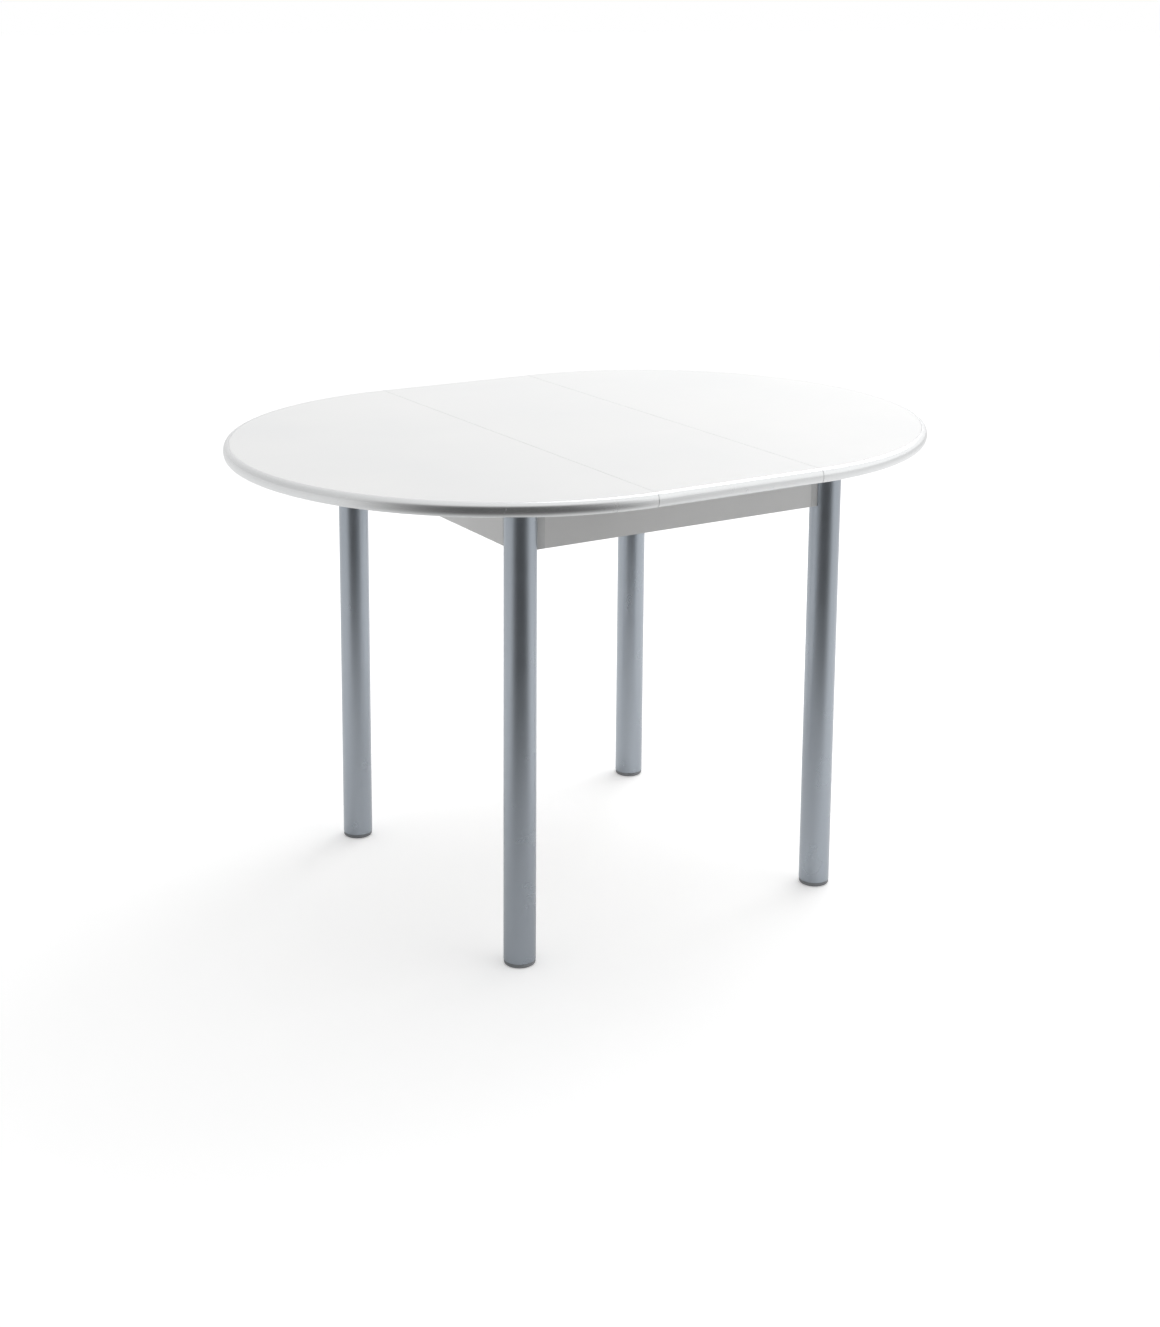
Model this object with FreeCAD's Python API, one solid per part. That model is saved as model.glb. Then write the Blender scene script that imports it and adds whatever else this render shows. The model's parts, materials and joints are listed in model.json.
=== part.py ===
import FreeCAD
import Part
import math
import os

# A round kitchen table that extends: two half tops on slide rails, a lift-in leaf between them,
# and a square apron frame on four tube legs. It is modelled extended, with its leaf in place.
# Millimetres. X runs along the extended table, Y across it, Z up. The origin is on the floor,
# under the middle of the table. "Front" is -Y, "left" is -X.

# Driving dimensions: the tops
TABLE_HEIGHT = 760.0
TOP_DIAMETER = 900.0
LEAF_WIDTH = 300.0
TOP_THICKNESS = 22.0
UPPER_EDGE_RADIUS = 9.0
LOWER_EDGE_RADIUS = 7.0
EDGE_CROWN_ANGLE = 15.0
SEAM_GAP = 0.5
SLIDE_TRAVEL = 30.0

# Driving dimensions: the frame
LEG_SPACING = 571.0
LEG_DIAMETER = 50.0
LEG_WALL = 1.5
APRON_HEIGHT = 80.0
APRON_THICKNESS = 19.0
APRON_END_TO_LEG_CENTRE = 36.5
GLIDE_PAD_SIZE = (40.0, 12.0, 3.0)
LONG_APRON_PAD_PLACES = (-200.0, -60.0, 60.0, 200.0)
SHORT_APRON_PAD_PLACES = (-90.0, 90.0)

# Driving dimensions: feet, plugs and corner connectors
FOOT_RIM_HEIGHT = 7.0
FOOT_RIM_INSET = 0.4
FOOT_ROUNDING = 3.0
SPIGOT_LENGTH = 20.0
SPIGOT_WALL = 2.5
PLUG_HEIGHT = 2.0
PLUG_SPIGOT_LENGTH = 13.0
TUBE_CLEARANCE = 0.2
FLANGE_THICKNESS = 4.0
FLANGE_LENGTH = 40.0
FLANGE_SCREW_FROM_EDGE = 20.0
WEB_DEPTH = 42.0
LEG_BOLT_HEIGHTS = (672.0, 700.0)
NUT_BAR_SPAN = (660.0, 712.0)
NUT_BAR_CHORD = 16.0
NUT_BAR_WIDTH = 24.0

# Driving dimensions: guides, runners and bearers
GUIDE_WIDTH = 24.0
GUIDE_HEIGHT = 18.0
GUIDE_WALL = 2.0
GUIDE_SLOT = 12.0
GUIDE_TO_TOPS = 5.0
GUIDE_END_CLEARANCE = 2.0
RUNNER_CLEARANCE = 0.5
RUNNER_NECK_CLEARANCE = 0.5
RUNNER_HEAD_HEIGHT = 12.0
RUNNER_OUTER_REACH = 420.0
RUNNER_INNER_REACH = 100.0
RUNNER_SCREW_PLACES = (400.0, 320.0, 240.0, 175.0)
LEFT_RUNNER_OFFSET = 192.0
RIGHT_RUNNER_OFFSET = 160.0
NOTCH_CLEARANCE = 1.0
BEARER_OFFSET = 180.0
BEARER_WIDTH = 40.0
BEARER_THICKNESS = 18.0
STOP_LENGTH = 10.0
STOP_WIDTH = 5.0
STOP_HEIGHT = 3.5
STOP_PIN_RADIUS = 1.5
STOP_PIN_LENGTH = 20.0
STOP_PIN_FROM_END = 6.0
STOP_CLEARANCE = 0.3

# Driving dimensions: seam plates and leaf cleats
PLATE_THICKNESS = 3.0
PLATE_WIDTH = 40.0
PLATE_UNDER_HALF = 35.0
PLATE_UNDER_LEAF = 25.0
PLATE_OFFSETS = (90.0, 370.0)
PLATE_SCREW_FROM_SEAM = 21.0
PLATE_SCREW_SPREAD = 12.0
CLEAT_LENGTH = 240.0
CLEAT_WIDTH = 19.0
CLEAT_HEIGHT = 16.0
CLEAT_PLAY = 2.0
CLEAT_SCREW_OFFSET = 96.0

# Driving dimensions: brackets and fasteners
BRACKET_LEG = 30.0
BRACKET_WIDTH = 20.0
BRACKET_THICKNESS = 2.0
BRACKET_SCREW_FROM_CORNER = 18.0
BOLT_RADIUS = 4.0
BOLT_HOLE_RADIUS = 4.3
BOLT_LENGTH = 30.0
BOLT_HEAD_HEIGHT = 5.3
BOLT_HEAD_ACROSS_FLATS = 13.0
WASHER_RADIUS = 8.0
WASHER_THICKNESS = 1.6
SCREW_RADIUS = 2.0
SCREW_HOLE_RADIUS = 2.2
SCREW_HEAD_RADIUS = 4.0
SCREW_HEAD_HEIGHT = 2.4
SCREW_DEPTH_IN_BOARD = 14.0
COUNTERBORE_RADIUS = 4.5
COUNTERBORE_DEPTH = 6.0

# Heights and places that follow from them
TOP_RADIUS = TOP_DIAMETER / 2
TOP_UNDERSIDE = TABLE_HEIGHT - TOP_THICKNESS
CROWN_SINE = math.sin(math.radians(EDGE_CROWN_ANGLE))
CROWN_COSINE = math.cos(math.radians(EDGE_CROWN_ANGLE))
ROUNDED_HEIGHT = (UPPER_EDGE_RADIUS + LOWER_EDGE_RADIUS) * (1 - CROWN_SINE)
CROWN_RADIUS = (TOP_THICKNESS - ROUNDED_HEIGHT) / (2 * CROWN_SINE)
EDGE_BAND_WIDTH = CROWN_RADIUS - (CROWN_RADIUS - UPPER_EDGE_RADIUS) * CROWN_COSINE
APRON_TOP = TOP_UNDERSIDE - GLIDE_PAD_SIZE[2]
APRON_BOTTOM = APRON_TOP - APRON_HEIGHT
LEG_OFFSET = LEG_SPACING / 2
LEG_RADIUS = LEG_DIAMETER / 2
TUBE_INNER_RADIUS = LEG_RADIUS - LEG_WALL
TUBE_TOP = APRON_TOP - PLUG_HEIGHT
APRON_OUTER = LEG_OFFSET + APRON_THICKNESS / 2
APRON_INNER = LEG_OFFSET - APRON_THICKNESS / 2
APRON_HALF_LENGTH = LEG_OFFSET - APRON_END_TO_LEG_CENTRE
FLANGE_FACE = APRON_INNER - FLANGE_THICKNESS
FLANGE_END = APRON_HALF_LENGTH - FLANGE_LENGTH
FLANGE_SCREW_PLACE = APRON_HALF_LENGTH - FLANGE_LENGTH / 2
FLANGE_SCREW_HEIGHTS = (APRON_BOTTOM + FLANGE_SCREW_FROM_EDGE, APRON_TOP - FLANGE_SCREW_FROM_EDGE)
GUIDE_TOP = TOP_UNDERSIDE - GUIDE_TO_TOPS
GUIDE_BOTTOM = GUIDE_TOP - GUIDE_HEIGHT
BEARER_BOTTOM = GUIDE_BOTTOM - BEARER_THICKNESS
SEAM = LEAF_WIDTH / 2

X_AXIS = FreeCAD.Vector(1, 0, 0)
Y_AXIS = FreeCAD.Vector(0, 1, 0)
Z_AXIS = FreeCAD.Vector(0, 0, 1)
INWARD_DIAGONAL = FreeCAD.Vector(-1, -1, 0).normalize()

# Each corner is the back right one, turned about the table's middle by this many degrees.
CORNERS = {"back_right": 0, "back_left": 90, "front_left": 180, "front_right": 270}
# Each half top: the side of X that it is on, and how far its runners are from the middle in Y.
HALVES = {"left": (-1, LEFT_RUNNER_OFFSET), "right": (1, RIGHT_RUNNER_OFFSET)}
SIDES = {"front": -1, "back": 1}


def vector(x, y, z):
    return FreeCAD.Vector(x, y, z)


def box(low, high):
    """A box between two opposite corners, given in any order."""
    start = [min(a, b) for a, b in zip(low, high)]
    size = [abs(b - a) for a, b in zip(low, high)]
    return Part.makeBox(size[0], size[1], size[2], vector(*start))


def rod(radius, start, direction, length):
    """A cylinder of a given length from start along direction."""
    return Part.makeCylinder(radius, length, start, direction)


def prism(points, bottom, top):
    """An upright prism on a closed outline of points."""
    face = Part.Face(outline(points, bottom))
    return face.extrude(vector(0, 0, top - bottom))


def outline(points, height):
    corners = [vector(x, y, height) for x, y in points]
    return Part.makePolygon(corners + corners[:1])


def turned(shape, angle):
    """A copy of the shape, turned about the table's middle."""
    copy = shape.copy()
    copy.rotate(vector(0, 0, 0), Z_AXIS, angle)
    return copy


def group(solids):
    """Separate solids that are saved together."""
    return Part.makeCompound([solid for shape in solids for solid in shape.Solids])


def save(name, shape):
    shape.exportStep("parts/" + name + ".step")


# Fasteners


def pan_screw(head_seat, direction, length):
    """A screw whose head rests at head_seat and whose shank runs from there along direction."""
    shank = rod(SCREW_RADIUS, head_seat, direction, length)
    head = rod(SCREW_HEAD_RADIUS, head_seat, direction * -1, SCREW_HEAD_HEIGHT)
    return shank.fuse(head).removeSplitter()


def flat_screw(flush_point, direction, length):
    """A countersunk screw whose head is flush with the surface at flush_point."""
    head = Part.makeCone(SCREW_HEAD_RADIUS, SCREW_RADIUS, GUIDE_WALL, flush_point, direction)
    shank = rod(SCREW_RADIUS, flush_point, direction, length)
    return shank.fuse(head).removeSplitter()


def hexagon(across_flats, start, direction, height):
    """A hexagonal prism, for a bolt head."""
    radius = across_flats / math.sqrt(3)
    points = [(radius * math.cos(math.radians(a)), radius * math.sin(math.radians(a)))
              for a in range(0, 360, 60)]
    head = prism(points, 0, height)
    head.Placement = FreeCAD.Placement(start, FreeCAD.Rotation(Z_AXIS, direction))
    return head


# The tops


def board_profile(inner):
    """A board's section in the YZ plane, from inner to where the edge band starts."""
    outer = TOP_RADIUS - EDGE_BAND_WIDTH
    corners = [vector(0, y, z) for y, z in ((inner, TOP_UNDERSIDE), (outer, TOP_UNDERSIDE),
                                            (outer, TABLE_HEIGHT), (inner, TABLE_HEIGHT))]
    return Part.Face(Part.makePolygon(corners + corners[:1]))


def profile_arc(centre, radius, start, end):
    """An arc in the YZ plane about a centre (y, z). Its angles are in degrees up from +Y."""
    points = []
    for degrees in (start, (start + end) / 2, end):
        angle = math.radians(degrees)
        points.append(vector(0, centre[0] + radius * math.cos(angle), centre[1] + radius * math.sin(angle)))
    return Part.Arc(*points).toShape()


def band_profile():
    """An edge band's section in the YZ plane: flat against the board, rounded and crowned outside."""
    upper_shift = CROWN_RADIUS - UPPER_EDGE_RADIUS
    lower_shift = CROWN_RADIUS - LOWER_EDGE_RADIUS
    crown_y = TOP_RADIUS - CROWN_RADIUS
    crown_z = TOP_UNDERSIDE + LOWER_EDGE_RADIUS + lower_shift * CROWN_SINE
    upper_centre = (crown_y + upper_shift * CROWN_COSINE, crown_z + upper_shift * CROWN_SINE)
    lower_centre = (crown_y + lower_shift * CROWN_COSINE, crown_z - lower_shift * CROWN_SINE)
    inner_high = vector(0, upper_centre[0], TABLE_HEIGHT)
    inner_low = vector(0, upper_centre[0], TOP_UNDERSIDE)
    edges = [profile_arc(upper_centre, UPPER_EDGE_RADIUS, 90, EDGE_CROWN_ANGLE),
             profile_arc((crown_y, crown_z), CROWN_RADIUS, EDGE_CROWN_ANGLE, -EDGE_CROWN_ANGLE),
             profile_arc(lower_centre, LOWER_EDGE_RADIUS, -EDGE_CROWN_ANGLE, -90),
             Part.makeLine(vector(0, lower_centre[0], TOP_UNDERSIDE), inner_low),
             Part.makeLine(inner_low, inner_high)]
    return Part.Face(Part.Wire(edges))


def half_ring(profile, side):
    """The profile turned through half a circle about the half top's middle, less the seam's gap."""
    solid = profile.revolve(vector(0, 0, 0), Z_AXIS, 180)
    if side > 0:
        solid = turned(solid, 180)
    solid.translate(vector(side * SEAM, 0, 0))
    gap = box((side * SEAM, -TOP_RADIUS, TOP_UNDERSIDE),
              (side * (SEAM + SEAM_GAP / 2), TOP_RADIUS, TABLE_HEIGHT))
    return solid.cut(gap)


def board_holes(places):
    return group([rod(SCREW_RADIUS, vector(x, y, TOP_UNDERSIDE), Z_AXIS, SCREW_DEPTH_IN_BOARD)
                  for x, y in places])


def half_top(side):
    """Half a disc, drilled from below for its runner and plate screws."""
    return half_ring(board_profile(0), side).cut(board_holes(runner_screw_places(side)
                                                             + plate_screw_places(side)))


def across_leaf(profile):
    """The profile drawn out over the leaf's width."""
    width = LEAF_WIDTH - SEAM_GAP
    solid = profile.extrude(vector(width, 0, 0))
    solid.translate(vector(-width / 2, 0, 0))
    return solid


def centre_leaf():
    """The lift-in leaf, drilled from below for its cleats' screws."""
    board = across_leaf(board_profile(EDGE_BAND_WIDTH - TOP_RADIUS))
    return board.cut(board_holes(cleat_screw_places()))


def leaf_edge_bands():
    band = across_leaf(band_profile())
    return group([band, turned(band, 180)])


# Runners and what holds the halves


def runner_offset(side):
    return LEFT_RUNNER_OFFSET if side < 0 else RIGHT_RUNNER_OFFSET


def runner_screw_places(side):
    return [(side * x, y_side * runner_offset(side))
            for x in RUNNER_SCREW_PLACES for y_side in SIDES.values()]


def stop_pin_place(side):
    """The place along X of the pin at a runner's inner end."""
    return -side * (RUNNER_INNER_REACH - STOP_PIN_FROM_END)


def stop_pin_height():
    return (GUIDE_TOP + TOP_UNDERSIDE) / 2


def runner(side, y):
    """A T rail: its wide head is captive in the guide and its neck reaches up to the half top."""
    head_half_width = GUIDE_WIDTH / 2 - GUIDE_WALL - RUNNER_CLEARANCE
    neck_half_width = GUIDE_SLOT / 2 - RUNNER_NECK_CLEARANCE
    head_bottom = GUIDE_BOTTOM + GUIDE_WALL + 2 * RUNNER_CLEARANCE
    head_top = head_bottom + RUNNER_HEAD_HEIGHT
    outer, inner = side * RUNNER_OUTER_REACH, -side * RUNNER_INNER_REACH
    head = box((outer, y - head_half_width, head_bottom), (inner, y + head_half_width, head_top))
    neck = box((outer, y - neck_half_width, head_top), (inner, y + neck_half_width, TOP_UNDERSIDE))
    rail = head.fuse(neck).removeSplitter()
    cutters = [rod(STOP_PIN_RADIUS, vector(stop_pin_place(side), y - neck_half_width, stop_pin_height()),
                   Y_AXIS, 2 * neck_half_width)]
    for x in RUNNER_SCREW_PLACES:
        foot = vector(side * x, y, head_bottom)
        cutters.append(rod(SCREW_HOLE_RADIUS, foot, Z_AXIS, TOP_UNDERSIDE - head_bottom))
        cutters.append(rod(COUNTERBORE_RADIUS, foot, Z_AXIS, COUNTERBORE_DEPTH))
    return rail.cut(group(cutters))


def runner_screws(side):
    seat = GUIDE_BOTTOM + GUIDE_WALL + 2 * RUNNER_CLEARANCE + COUNTERBORE_DEPTH
    length = TOP_UNDERSIDE + SCREW_DEPTH_IN_BOARD - seat
    return group([pan_screw(vector(x, y, seat), Z_AXIS, length)
                  for x, y in runner_screw_places(side)])


def stop_pins(side):
    """A pin across each runner's inner end, which meets the guide's stops."""
    return group([rod(STOP_PIN_RADIUS,
                      vector(stop_pin_place(side), y_side * runner_offset(side) - STOP_PIN_LENGTH / 2,
                             stop_pin_height()),
                      Y_AXIS, STOP_PIN_LENGTH)
                  for y_side in SIDES.values()])


def plate_screw_places(side):
    x = side * (SEAM + PLATE_SCREW_FROM_SEAM)
    return [(x, y_side * offset + along * PLATE_SCREW_SPREAD)
            for y_side in SIDES.values() for offset in PLATE_OFFSETS for along in (-1, 1)]


def seam_plates(side):
    """Flat plates under the seam: screwed to the half, and the leaf's edge lies on them."""
    plates = []
    for y_side in SIDES.values():
        for offset in PLATE_OFFSETS:
            y = y_side * offset
            plates.append(box((side * (SEAM + PLATE_UNDER_HALF), y - PLATE_WIDTH / 2,
                               TOP_UNDERSIDE - PLATE_THICKNESS),
                              (side * (SEAM - PLATE_UNDER_LEAF), y + PLATE_WIDTH / 2, TOP_UNDERSIDE)))
    screws = seam_plate_screws(side)
    return group([plate.cut(screws) for plate in plates])


def seam_plate_screws(side):
    length = PLATE_THICKNESS + SCREW_DEPTH_IN_BOARD
    return group([flat_screw(vector(x, y, TOP_UNDERSIDE - PLATE_THICKNESS), Z_AXIS, length)
                  for x, y in plate_screw_places(side)])


# The leaf's cleats


def cleat_screw_places():
    y = APRON_INNER - CLEAT_PLAY - CLEAT_WIDTH / 2
    return [(x_side * CLEAT_SCREW_OFFSET, y_side * y) for y_side in SIDES.values() for x_side in (-1, 1)]


def leaf_cleat(y_side):
    """A batten under the leaf that keeps it between the long aprons."""
    outer = y_side * (APRON_INNER - CLEAT_PLAY)
    inner = outer - y_side * CLEAT_WIDTH
    batten = box((-CLEAT_LENGTH / 2, inner, TOP_UNDERSIDE - CLEAT_HEIGHT),
                 (CLEAT_LENGTH / 2, outer, TOP_UNDERSIDE))
    return batten.cut(leaf_cleat_screws())


def leaf_cleat_screws():
    length = CLEAT_HEIGHT + SCREW_DEPTH_IN_BOARD
    return group([flat_screw(vector(x, y, TOP_UNDERSIDE - CLEAT_HEIGHT), Z_AXIS, length)
                  for x, y in cleat_screw_places()])


# Guides, bearers and pads


def guide_screw_places(side):
    return [(x_side * BEARER_OFFSET, y_side * runner_offset(side))
            for x_side in (-1, 1) for y_side in SIDES.values()]


def guide_screws():
    """Countersunk screws through the guides' floors into the bearers."""
    return group([flat_screw(vector(x, y, GUIDE_BOTTOM + GUIDE_WALL), Z_AXIS * -1, SCREW_DEPTH_IN_BOARD)
                  for side in (-1, 1) for x, y in guide_screw_places(side)])


def guide_channel(y):
    """A C section that is open at the top, fixed across the inside of the frame."""
    half_length = APRON_INNER - GUIDE_END_CLEARANCE

    def bar(half_width, low, high):
        return box((-half_length, y - half_width, low), (half_length, y + half_width, high))

    outside = bar(GUIDE_WIDTH / 2, GUIDE_BOTTOM, GUIDE_TOP)
    cavity = bar(GUIDE_WIDTH / 2 - GUIDE_WALL, GUIDE_BOTTOM + GUIDE_WALL, GUIDE_TOP - GUIDE_WALL)
    slot = bar(GUIDE_SLOT / 2, GUIDE_TOP - GUIDE_WALL, GUIDE_TOP)
    return outside.cut(cavity.fuse(slot)).cut(guide_screws())


def guide_stops():
    """Two cheeks on each guide, one each side of the runner's neck, that hold back its pin."""
    cheeks = []
    for side in (-1, 1):
        reach = stop_pin_place(side) + side * (SLIDE_TRAVEL + STOP_PIN_RADIUS + STOP_CLEARANCE)
        for y_side in SIDES.values():
            for cheek_side in (-1, 1):
                near = y_side * runner_offset(side) + cheek_side * (GUIDE_SLOT / 2 + STOP_CLEARANCE)
                far = near + cheek_side * STOP_WIDTH
                cheeks.append(box((reach, near, GUIDE_TOP),
                                  (reach + side * STOP_LENGTH, far, GUIDE_TOP + STOP_HEIGHT)))
    return group(cheeks)


def cross_bearer(x_side):
    """A batten between the long aprons, which carries the guides."""
    x = x_side * BEARER_OFFSET
    batten = box((x - BEARER_WIDTH / 2, -APRON_INNER, BEARER_BOTTOM),
                 (x + BEARER_WIDTH / 2, APRON_INNER, GUIDE_BOTTOM))
    return batten.cut(group([guide_screws(), bracket_screws()]))


def bracket_screw_seats():
    """Where each bracket's screws sit, and the way they point: into the bearer and the apron."""
    seats = []
    for x_side in (-1, 1):
        for y_side in SIDES.values():
            x = x_side * BEARER_OFFSET
            under_bearer = y_side * (APRON_INNER - BRACKET_SCREW_FROM_CORNER)
            on_apron = BEARER_BOTTOM - BRACKET_SCREW_FROM_CORNER
            seats.append((vector(x, under_bearer, BEARER_BOTTOM - BRACKET_THICKNESS), Z_AXIS))
            seats.append((vector(x, y_side * (APRON_INNER - BRACKET_THICKNESS), on_apron),
                          Y_AXIS * y_side))
    return seats


def bracket_screws():
    return group([pan_screw(seat, direction, SCREW_DEPTH_IN_BOARD)
                  for seat, direction in bracket_screw_seats()])


def bearer_brackets():
    """Steel angles under the bearers' ends."""
    brackets = []
    for x_side in (-1, 1):
        low, high = x_side * BEARER_OFFSET - BRACKET_WIDTH / 2, x_side * BEARER_OFFSET + BRACKET_WIDTH / 2
        for y_side in SIDES.values():
            wall = y_side * APRON_INNER
            flat = box((low, wall, BEARER_BOTTOM - BRACKET_THICKNESS),
                       (high, wall - y_side * BRACKET_LEG, BEARER_BOTTOM))
            upright = box((low, wall, BEARER_BOTTOM - BRACKET_LEG),
                          (high, wall - y_side * BRACKET_THICKNESS, BEARER_BOTTOM))
            brackets.append(flat.fuse(upright).removeSplitter().cut(bracket_screws()))
    return group(brackets)


def glide_pads():
    """Plastic pads on the aprons, on which the tops lie and slide."""
    length, width, height = GLIDE_PAD_SIZE
    along_x = [(x, y_side * LEG_OFFSET, length, width)
               for x in LONG_APRON_PAD_PLACES for y_side in SIDES.values()]
    along_y = [(x_side * LEG_OFFSET, y, width, length)
               for x_side in (-1, 1) for y in SHORT_APRON_PAD_PLACES]
    return group([box((x - size_x / 2, y - size_y / 2, APRON_TOP),
                      (x + size_x / 2, y + size_y / 2, APRON_TOP + height))
                  for x, y, size_x, size_y in along_x + along_y])


# Aprons


def long_apron(y_side):
    board = box((-APRON_HALF_LENGTH, y_side * APRON_INNER, APRON_BOTTOM),
                (APRON_HALF_LENGTH, y_side * APRON_OUTER, APRON_TOP))
    return board.cut(group([all_corner_parts(apron_screws), bracket_screws()]))


def short_apron(side):
    """A board with two notches in its upper edge, for the runners of the half on its side."""
    board = box((side * APRON_INNER, -APRON_HALF_LENGTH, APRON_BOTTOM),
                (side * APRON_OUTER, APRON_HALF_LENGTH, APRON_TOP))
    half_width = GUIDE_WIDTH / 2 - GUIDE_WALL + NOTCH_CLEARANCE
    notches = []
    for y_side in SIDES.values():
        y = y_side * runner_offset(side)
        notches.append(box((side * APRON_INNER, y - half_width, GUIDE_BOTTOM + GUIDE_WALL),
                           (side * APRON_OUTER, y + half_width, APRON_TOP)))
    return board.cut(group(notches + [all_corner_parts(apron_screws)]))


# Corner parts, made for the back right corner


def leg_axis_point(height):
    return vector(LEG_OFFSET, LEG_OFFSET, height)


def leg_bolt_seats():
    """Where the bolt heads' washers bear on the connector's web."""
    return [leg_axis_point(z) + INWARD_DIAGONAL * WEB_DEPTH for z in LEG_BOLT_HEIGHTS]


def leg_bolt_holes(radius):
    return group([rod(radius, seat, INWARD_DIAGONAL * -1, WEB_DEPTH) for seat in leg_bolt_seats()])


def leg_tube():
    base = leg_axis_point(FOOT_RIM_HEIGHT)
    height = TUBE_TOP - FOOT_RIM_HEIGHT
    tube = rod(LEG_RADIUS, base, Z_AXIS, height).cut(rod(TUBE_INNER_RADIUS, base, Z_AXIS, height))
    return tube.cut(leg_bolt_holes(BOLT_HOLE_RADIUS))


def foot_cap():
    """A plastic foot: a rounded rim under the tube, and a hollow spigot inside it."""
    rim = rod(LEG_RADIUS - FOOT_RIM_INSET, leg_axis_point(0), Z_AXIS, FOOT_RIM_HEIGHT)
    bottom_edges = [edge for edge in rim.Edges if edge.BoundBox.ZMax < FOOT_ROUNDING / 2]
    rim = rim.makeFillet(FOOT_ROUNDING, bottom_edges)
    spigot_radius = TUBE_INNER_RADIUS - TUBE_CLEARANCE
    spigot = rod(spigot_radius, leg_axis_point(FOOT_RIM_HEIGHT), Z_AXIS, SPIGOT_LENGTH)
    hollow = rod(spigot_radius - SPIGOT_WALL, leg_axis_point(FOOT_RIM_HEIGHT), Z_AXIS, SPIGOT_LENGTH)
    return rim.fuse(spigot.cut(hollow)).removeSplitter()


def leg_top_plug():
    disc = rod(LEG_RADIUS, leg_axis_point(TUBE_TOP), Z_AXIS, PLUG_HEIGHT)
    foot = leg_axis_point(TUBE_TOP - PLUG_SPIGOT_LENGTH)
    spigot_radius = TUBE_INNER_RADIUS - TUBE_CLEARANCE
    spigot = rod(spigot_radius, foot, Z_AXIS, PLUG_SPIGOT_LENGTH)
    hollow = rod(spigot_radius - SPIGOT_WALL, foot, Z_AXIS, PLUG_SPIGOT_LENGTH)
    return disc.fuse(spigot.cut(hollow)).removeSplitter()


def leg_nut_bar():
    """A steel bar inside the tube, curved to its wall, with the threads for the leg's bolts."""
    low, high = NUT_BAR_SPAN
    disc = rod(TUBE_INNER_RADIUS - TUBE_CLEARANCE, leg_axis_point(low), Z_AXIS, high - low)
    keep = box((NUT_BAR_CHORD, -NUT_BAR_WIDTH / 2, low), (LEG_RADIUS, NUT_BAR_WIDTH / 2, high))
    keep = turned(keep, math.degrees(math.atan2(INWARD_DIAGONAL.y, INWARD_DIAGONAL.x)))
    keep.translate(vector(LEG_OFFSET, LEG_OFFSET, 0))
    return disc.common(keep).cut(leg_bolt_holes(BOLT_RADIUS))


def corner_connector():
    """A block that seats the leg and joins the two aprons, with a flange behind each apron.

    Its end faces fill the gap between each apron's end and the round leg.
    """
    web = 2 * LEG_OFFSET - WEB_DEPTH * math.sqrt(2) - FLANGE_FACE
    half = [(FLANGE_FACE, web), (FLANGE_FACE, FLANGE_END), (APRON_INNER, FLANGE_END),
            (APRON_INNER, APRON_HALF_LENGTH), (APRON_OUTER, APRON_HALF_LENGTH),
            (APRON_OUTER, LEG_OFFSET)]
    mirrored = [(y, x) for x, y in reversed(half)]
    block = prism(half + [(LEG_OFFSET, LEG_OFFSET)] + mirrored, APRON_BOTTOM, APRON_TOP)
    seat = rod(LEG_RADIUS + TUBE_CLEARANCE, leg_axis_point(APRON_BOTTOM), Z_AXIS, APRON_HEIGHT)
    holes = group([leg_bolt_holes(BOLT_HOLE_RADIUS), apron_screw_holes()])
    return block.cut(seat).cut(holes)


def apron_screw_seats():
    """Two screws through each flange: where each head sits, and the way it points."""
    seats = []
    for z in FLANGE_SCREW_HEIGHTS:
        seats.append((vector(FLANGE_SCREW_PLACE, FLANGE_FACE, z), Y_AXIS))
        seats.append((vector(FLANGE_FACE, FLANGE_SCREW_PLACE, z), X_AXIS))
    return seats


def apron_screw_holes():
    return group([rod(SCREW_HOLE_RADIUS, seat, direction, FLANGE_THICKNESS)
                  for seat, direction in apron_screw_seats()])


def apron_screws():
    length = FLANGE_THICKNESS + SCREW_DEPTH_IN_BOARD
    return group([pan_screw(seat, direction, length) for seat, direction in apron_screw_seats()])


def leg_washers():
    washers = [rod(WASHER_RADIUS, seat, INWARD_DIAGONAL, WASHER_THICKNESS) for seat in leg_bolt_seats()]
    holes = [rod(BOLT_HOLE_RADIUS, seat, INWARD_DIAGONAL, WASHER_THICKNESS) for seat in leg_bolt_seats()]
    return group(washers).cut(group(holes))


def leg_bolts():
    bolts = []
    for seat in leg_bolt_seats():
        under_head = seat + INWARD_DIAGONAL * WASHER_THICKNESS
        shank = rod(BOLT_RADIUS, under_head, INWARD_DIAGONAL * -1, BOLT_LENGTH)
        head = hexagon(BOLT_HEAD_ACROSS_FLATS, under_head, INWARD_DIAGONAL, BOLT_HEAD_HEIGHT)
        bolts.append(shank.fuse(head).removeSplitter())
    return group(bolts)


def all_corner_parts(make):
    """The same small parts at all four corners, as separate solids of one group."""
    return group([turned(make(), angle) for angle in CORNERS.values()])


def save_corners():
    for name, make in (("leg_tube", leg_tube), ("foot_cap", foot_cap), ("leg_top_plug", leg_top_plug),
                       ("leg_nut_bar", leg_nut_bar), ("corner_connector", corner_connector)):
        for corner, angle in CORNERS.items():
            save(name + "_" + corner, turned(make(), angle))
    save("leg_bolts", all_corner_parts(leg_bolts))
    save("leg_washers", all_corner_parts(leg_washers))
    save("apron_screws", all_corner_parts(apron_screws))


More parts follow.
